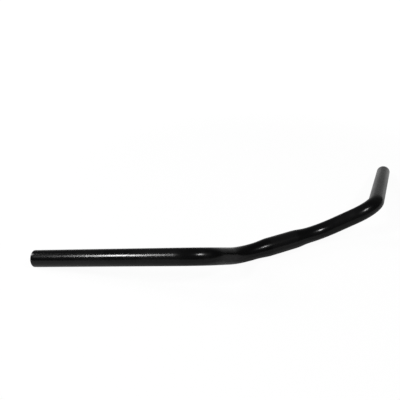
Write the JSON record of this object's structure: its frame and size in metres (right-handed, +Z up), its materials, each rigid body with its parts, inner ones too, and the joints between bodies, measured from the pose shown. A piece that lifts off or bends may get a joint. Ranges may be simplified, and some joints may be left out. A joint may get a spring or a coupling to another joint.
{
  "type": "cruiser handlebar",
  "caption": "Black bent-tube handlebar with a swaged clamp zone, a low rise on each side and long straight swept-back grips open at their ends.",
  "frame": {"origin": "middle of the clamp zone, on the axis of the tube there", "axes": "+X along the clamp to one grip, +Y back towards the open ends of the grips, +Z up from the flat surface that the loose bar lies on"},
  "size_m": [0.6368, 0.1529, 0.0569],
  "materials": {
    "bar_black": "semi-gloss black coating, duller at the clamp zone"
  },
  "bodies": {
    "root": {"handlebar": "bar_black"}
  },
  "joints": []
}
